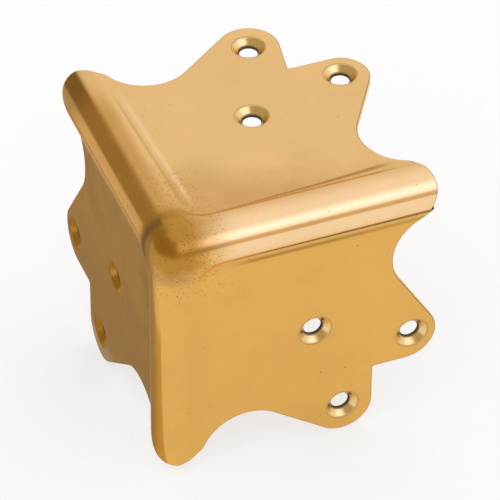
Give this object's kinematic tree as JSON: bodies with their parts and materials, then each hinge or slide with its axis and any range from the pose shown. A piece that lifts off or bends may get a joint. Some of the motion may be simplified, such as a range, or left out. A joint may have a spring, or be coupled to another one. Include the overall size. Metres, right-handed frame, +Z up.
{
  "type": "case corner",
  "caption": "Cast brass three-way case corner: flat scalloped plates joined by rounded ribs and a ball corner, with countersunk screw holes.",
  "frame": {"origin": "inner corner of the casting, where the corner of the case seats", "axes": "+Z up out of the top plate; the front plate faces -Y and the left plate faces -X, and the case lies towards +X, +Y and -Z"},
  "size_m": [0.0745, 0.076, 0.076],
  "materials": {
    "cast_brass": "polished and lacquered casting with fine pits and scratches"
  },
  "bodies": {
    "root": {"case_corner": "cast_brass"}
  },
  "joints": []
}
